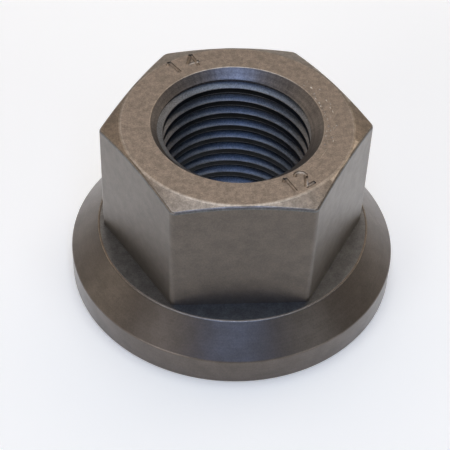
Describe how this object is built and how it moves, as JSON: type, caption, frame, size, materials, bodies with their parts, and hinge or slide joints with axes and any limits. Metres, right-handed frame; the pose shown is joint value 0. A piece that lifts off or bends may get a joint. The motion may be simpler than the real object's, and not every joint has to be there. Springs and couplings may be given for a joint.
{
  "type": "wheel nut",
  "caption": "Hexagonal wheel nut on a wide coned flange with an upright rim, a chamfered top face and a countersunk threaded hole right through.",
  "frame": {"origin": "middle of the flat bearing face, on the thread's axis", "axes": "+Z along the thread from the bearing face to the top face; +X through a corner of the hexagon, so two of its flats face +Y and -Y"},
  "size_m": [0.0302, 0.0302, 0.0174],
  "materials": {
    "steel": "satin phosphate over heat-treated steel"
  },
  "bodies": {
    "root": {"wheel_nut": "steel"}
  },
  "joints": []
}
